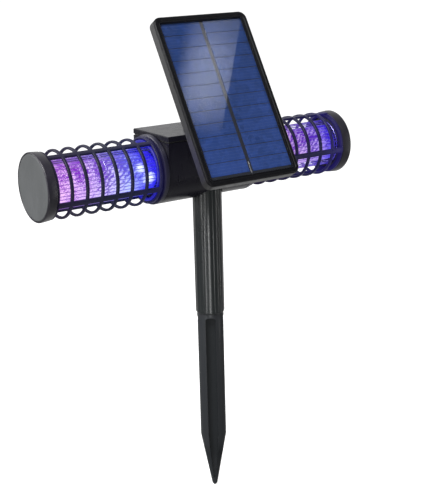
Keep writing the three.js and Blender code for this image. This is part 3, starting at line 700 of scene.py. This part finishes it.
def solar_cells(silicon, backing, silver):
    """Two columns of cells on a dark sheet, with a silver bus strip between them at the foot."""
    half_x, half_z = PANEL_WIDTH / 2 - 4.2 * MM, PANEL_HEIGHT / 2 - 4.2 * MM
    bm = bmesh.new()
    outline = rounded_rectangle(half_x, half_z, 3 * MM)

    def corner(p, far):
        return panel_point(p[0], -(19.7 if far else 20.6) * MM, PANEL_RISE + p[1])

    prism(bm, outline, corner)
    sheet = new_piece("cell_backing", bm, "panel", backing, angle=40)
    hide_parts("solar_laminate")

    bm = bmesh.new()
    uv = bm.loops.layers.uv.new("cell")
    left, right, gap = -half_x + 1.6 * MM, half_x - 1.6 * MM, 1.9 * MM
    foot, head = -half_z + 4.0 * MM, half_z - 1.4 * MM
    pitch = (head - foot) / CELL_ROWS
    for x0, x1 in ((left, -gap), (gap, right)):
        for row in range(CELL_ROWS):
            z0 = foot + row * pitch + 0.28 * MM
            slab(bm, x0, x1, z0, z0 + pitch - 0.56 * MM, 20.85 * MM, 20.62 * MM, uv)
    cells = new_piece("solar_cells", bm, "panel", silicon, angle=40)

    bm = bmesh.new()
    slab(bm, -0.7 * MM, 0.3 * MM, foot - 1.0 * MM, foot + 9.5 * MM, 20.8 * MM, 20.62 * MM)
    bus = new_piece("bus_strip", bm, "panel", silver, bevel=0.08 * MM)


# Surroundings


def strip_light(name, centre, facing, width, height, strength):
    """A soft rectangular light that faces a point."""
    data = bpy.data.lights.new(name, "AREA")
    data.shape = "RECTANGLE"
    data.size, data.size_y = width, height
    data.energy = strength
    light = bpy.data.objects.new(name, data)
    turn = (Vector(facing) - Vector(centre)).to_track_quat("-Z", "Y")
    light.matrix_world = Matrix.Translation(centre) @ turn.to_matrix().to_4x4()
    bpy.context.scene.collection.objects.link(light)


def studio_world():
    """White all round to look at; as light, bright behind and below the object and dim in front."""
    world = bpy.data.worlds.new("studio")
    world.use_nodes = True
    tree = world.node_tree
    background = tree.nodes["Background"]
    direction = tree.nodes.new("ShaderNodeTexCoord").outputs["Generated"]

    def lobe(towards, low, high, level):
        dot = tree.nodes.new("ShaderNodeVectorMath")
        dot.operation = "DOT_PRODUCT"
        tree.links.new(direction, dot.inputs[0])
        dot.inputs[1].default_value = Vector(towards).normalized()
        fade = tree.nodes.new("ShaderNodeMapRange")
        fade.interpolation_type = "SMOOTHSTEP"
        fade.inputs["From Min"].default_value = low
        fade.inputs["From Max"].default_value = high
        fade.inputs["To Max"].default_value = level
        tree.links.new(dot.outputs["Value"], fade.inputs["Value"])
        return fade.outputs["Result"]

    total = None
    for towards, low, high, level in (
        ((0.53, 0.80, 0.1), 0.1, 0.95, 0.75),
        ((0, 0, -1), 0.35, 0.95, 0.5),
        ((-0.8, 0.1, 0.6), 0.5, 0.95, 1.1),
        ((0, 0, 1), -1.0, 1.0, 0.12),
    ):
        value = lobe(towards, low, high, level)
        if total is None:
            total = value
            continue
        add = tree.nodes.new("ShaderNodeMath")
        tree.links.new(total, add.inputs[0])
        tree.links.new(value, add.inputs[1])
        total = add.outputs[0]
    seen = tree.nodes.new("ShaderNodeLightPath").outputs["Is Camera Ray"]
    pick = tree.nodes.new("ShaderNodeMix")
    tree.links.new(seen, pick.inputs[0])
    tree.links.new(total, pick.inputs[2])
    pick.inputs[3].default_value = 1.0
    tree.links.new(pick.outputs[0], background.inputs["Color"])
    bpy.context.scene.world = world


def add_floor():
    """A plain pale floor just below the part."""
    data = bpy.data.meshes.new("floor")
    bm = bmesh.new()
    z = cad_box[0].z - 1.0 * MM
    bm.faces.new([bm.verts.new((x, y, z)) for x, y in ((-60, -60), (60, -60), (60, 60), (-60, 60))])
    bm.to_mesh(data)
    bm.free()
    m = Nodes("floor")
    tone = m.noise(m.position(), 2, 3)
    pale = m.ramp(tone, [(0.3, 0.55), (0.7, 0.57)])
    m.surface(Base_Color=pale, Roughness=1.0)
    m.surface(Emission_Color=(1, 1, 1, 1), Emission_Strength=0.72)
    data.materials.append(m.material)
    ground = bpy.data.objects.new("floor", data)
    ground.visible_glossy = False
    ground.visible_diffuse = False
    ground.visible_shadow = False
    bpy.context.scene.collection.objects.link(ground)


def add_window_card():
    """A glowing card that mirrors in the panel's glass as a pale band with one crisp edge."""
    centre = Vector((0.5014, -0.4936, 0.7993))
    across = Vector((0.671, 0.742, 0))
    upwards = Vector((-0.488, 0.441, 0.753))
    along = (0.797 * across + 0.604 * upwards).normalized()
    inwards = (-0.604 * across + 0.797 * upwards).normalized()
    corner = centre + 0.009 * across + 0.004 * upwards
    bm = bmesh.new()
    uv = bm.loops.layers.uv.new("card")
    spots = [(-0.09, 0), (0.24, 0), (0.24, 0.1), (-0.09, 0.1)]
    face = bm.faces.new([bm.verts.new(corner + along * s + inwards * t) for s, t in spots])
    for loop, place in zip(face.loops, ((0, 0), (1, 0), (1, 1), (0, 1))):
        loop[uv].uv = place
    data = bpy.data.meshes.new("window_card")
    bm.to_mesh(data)
    bm.free()
    m = Nodes("window_card")
    parts = m.add("SeparateXYZ", {"Vector": m.add("TexCoord").outputs["UV"]})
    along_stops = [(0.0, 0.0), (0.28, 1.0), (0.37, 0.95), (0.6, 0.4), (1.0, 0.35)]
    inward_stops = [(0.0, 0.62), (0.4, 1.0), (0.55, 0.85), (0.95, 0.0)]
    along_fade = m.ramp(parts.outputs["X"], along_stops, smooth=True)
    inward_fade = m.ramp(parts.outputs["Y"], inward_stops, smooth=True)
    glow = m.add("Emission", {"Color": (0.86, 0.9, 1, 1)})
    m.feed(glow, "Strength", m.math("MULTIPLY", m.math("MULTIPLY", along_fade, inward_fade), 5.4))
    m.feed(m.output, "Surface", glow.outputs[0])
    data.materials.append(m.material)
    sheet = bpy.data.objects.new("window_card", data)
    sheet.visible_camera = False
    sheet.visible_diffuse = False
    sheet.visible_shadow = False
    bpy.context.scene.collection.objects.link(sheet)


def add_surroundings():
    """The world, the floor, the window card and the lamps."""
    bpy.context.scene.view_settings.view_transform = "Standard"
    studio_world()
    add_floor()
    add_window_card()
    middle = (0, 0, 0.1)
    strip_light("key_light", (-0.7, -0.35, 1.3), middle, 0.5, 0.5, 25)
    strip_light("left_strip", (-1.3, -0.35, 0.25), middle, 0.12, 1.3, 4.5)
    strip_light("right_strip", (1.0, -1.0, 0.0), middle, 0.1, 1.2, 3)
    strip_light("front_strip", (-0.62, -1.0, -0.36), (0, 0, 0.05), 0.3, 0.5, 5)
    strip_light("back_fill", (-1.1, 1.0, 0.5), middle, 0.6, 0.6, 8)


add_camera()
add_surroundings()

body_black = plastic(
    "body_black", (0.004, 0.0036, 0.007), (0.008, 0.0075, 0.013), 0.29, grain=0.3, specular=0.22
)
cap_black = plastic("cap_black", (0.009, 0.008, 0.013), (0.016, 0.014, 0.022), 0.38)
stake_black = plastic(
    "stake_black", (0.011, 0.013, 0.0135), (0.019, 0.022, 0.023), 0.3, grain=0.05, scale=0.3
)
spike_black = fluted_plastic()
panel_black = plastic("panel_black", (0.010, 0.010, 0.011), (0.020, 0.020, 0.021), 0.4)
bezel_black = plastic(
    "bezel_black", (0.003, 0.003, 0.004), (0.006, 0.006, 0.007), 0.35, grain=0.4, specular=0.15
)
cell_backing = plastic(
    "cell_backing", (0.006, 0.007, 0.012), (0.01, 0.012, 0.02), 0.5, grain=0.0, coat=1.0
)
inner_black = plastic("inner_black", (0.012, 0.012, 0.013), (0.02, 0.02, 0.022), 0.5)
cap_grey = plastic("cap_grey", (0.052, 0.056, 0.058), (0.076, 0.080, 0.083), 0.5)
zinc = metal("zinc_plate", (0.55, 0.56, 0.58), 0.32)
silver = metal("bus_silver", (0.7, 0.7, 0.72), 0.35)
seal = rubber("seal_rubber", (0.010, 0.010, 0.011))
board = circuit_green()

# The lamps' light on the parts near them, painted as a glow, as [(x in metres, colour)]
VIOLET, BLUE = (0.005, 0.002, 0.016), (0.001, 0.001, 0.034)
cage_spill = {
    "left": [
        (-0.160, (0.002, 0.001, 0.004)),
        (-0.150, VIOLET),
        (-0.100, (0.001, 0.004, 0.016)),
        (-0.060, BLUE),
    ],
    "right": [
        (0.046, VIOLET),
        (0.120, BLUE),
        (0.139, (0.012, 0.008, 0.10)),
        (0.1445, (0.005, 0.003, 0.06)),
        (0.1475, (0, 0, 0.004)),
    ],
}
collar_spill = {
    "left": [
        (-0.0610, (0.004, 0.002, 0.36)),
        (-0.0565, (0.001, 0.0005, 0.02)),
        (-0.0545, (0.0, 0.0, 0.002)),
    ],
    "right": [
        (0.0425, (0.0, 0.0, 0.003)),
        (0.0440, (0.006, 0.002, 0.03)),
        (0.048, (0.02, 0.008, 0.10)),
    ],
}
wire_spill = {
    "left": [
        (-0.157, (0.20, 0.05, 0.34)),
        (-0.100, (0.13, 0.10, 0.4)),
        (-0.075, (0.05, 0.05, 0.5)),
        (-0.056, (0, 0, 0.4)),
    ],
    "right": [
        (0.043, (0.16, 0.05, 0.26)),
        (0.110, (0.10, 0.05, 0.3)),
        (0.144, (0.02, 0.01, 0.3)),
    ],
}

# Along each lit tube: (share of the way, colour of the ground, colour of the strokes)
left_glow = [
    (0.0, (0.20, 0.008, 0.42), (0.86, 0.50, 0.86)),
    (0.3, (0.16, 0.012, 0.42), (0.68, 0.45, 0.88)),
    (0.55, (0.11, 0.05, 0.46), (0.58, 0.52, 0.92)),
    (0.75, (0.08, 0.08, 0.60), (0.42, 0.50, 0.95)),
    (0.9, (0.02, 0.015, 0.62), (0.08, 0.08, 0.9)),
    (1.0, (0.008, 0.004, 0.55), (0.02, 0.02, 0.8)),
]
right_glow = [
    (0.0, (0.17, 0.012, 0.40), (0.80, 0.46, 0.84)),
    (0.5, (0.12, 0.010, 0.42), (0.62, 0.40, 0.86)),
    (0.75, (0.07, 0.010, 0.46), (0.50, 0.36, 0.90)),
    (0.9, (0.02, 0.008, 0.55), (0.16, 0.12, 0.9)),
    (1.0, (0.010, 0.004, 0.5), (0.05, 0.04, 0.8)),
]

left_lamps = [(-0.0645, -0.0070, 0.1385, 0.0085), (-0.0720, -0.0060, 0.1480, 0.006)]
navy, worn_navy = (0.006, 0.006, 0.014), (0.011, 0.010, 0.022)

for side, (start, end), strength, glow, lamps in (
    ("left", (-0.157, -0.056), 1.25, left_glow, left_lamps),
    ("right", (0.043, 0.150), 1.0, right_glow, []),
):
    cage_black = plastic(
        f"{side}_cage_black", navy, worn_navy, 0.42, specular=0.22, spill=cage_spill[side]
    )
    cage_frame(side, cage_black)
    end_cap(side, cap_black, cap_grey)
    socket_ring(side, plastic(f"{side}_collar_black", navy, worn_navy, 0.38, spill=collar_spill[side]))
    # Painted light: the wires' violet tint and glow stand in for the lamp's light on plain steel wire.
    steel = metal(f"{side}_wire", (0.3, 0.28, 0.5), 0.35, stretch=(8, 1, 1), spill=wire_spill[side])
    grid_wires(side, steel)
    light_tube(side, lit_tube(f"{side}_glow", start, end, strength, glow, lamps))
    carry_over(f"{side}_grid_base", inner_black, 0.2 * MM)
    carry_over(f"{side}_grid_tip", inner_black, 0.2 * MM)
    carry_over(f"{side}_led_strip", board)
    carry_over(f"{side}_light_lead", seal)

reeded_tube(stake_black)
carry_over("ground_spike", spike_black, 0.25 * MM, angle=25)
carry_over("housing_shell", body_black, 0.35 * MM)
carry_over("housing_lid", body_black, 0.35 * MM)
carry_over("lid_gasket", seal)
for name in ("stake_socket", "battery_cradle", "push_switch"):
    carry_over(name, inner_black, 0.15 * MM)
for name in ("battery_cell_front", "battery_cell_rear"):
    carry_over(name, cell_wrap())
carry_over("circuit_board", board)
carry_over("step_up_transformer", copper_winding())
carry_over("power_button", rubber("button_rubber", (0.035, 0.035, 0.038), 0.6), 0.5 * MM)
carry_over("button_surround", inner_black, 0.3 * MM)
carry_over("support_arm", body_black, 0.5 * MM)
carry_over("tilt_knob", body_black, 0.6 * MM)
carry_over("panel_tray", panel_black, 0.6 * MM)
carry_over("panel_bracket", body_black, 0.4 * MM)
carry_over("hinge_bolt", zinc, 0.2 * MM)
for name in frame["nodes"]:
    if "screw" in name:
        carry_over(name, zinc, 0.15 * MM)
panel_bezel(bezel_black)
solar_cells(cell_silicon(), cell_backing, silver)
carry_over("cover_glass", clear_glass())
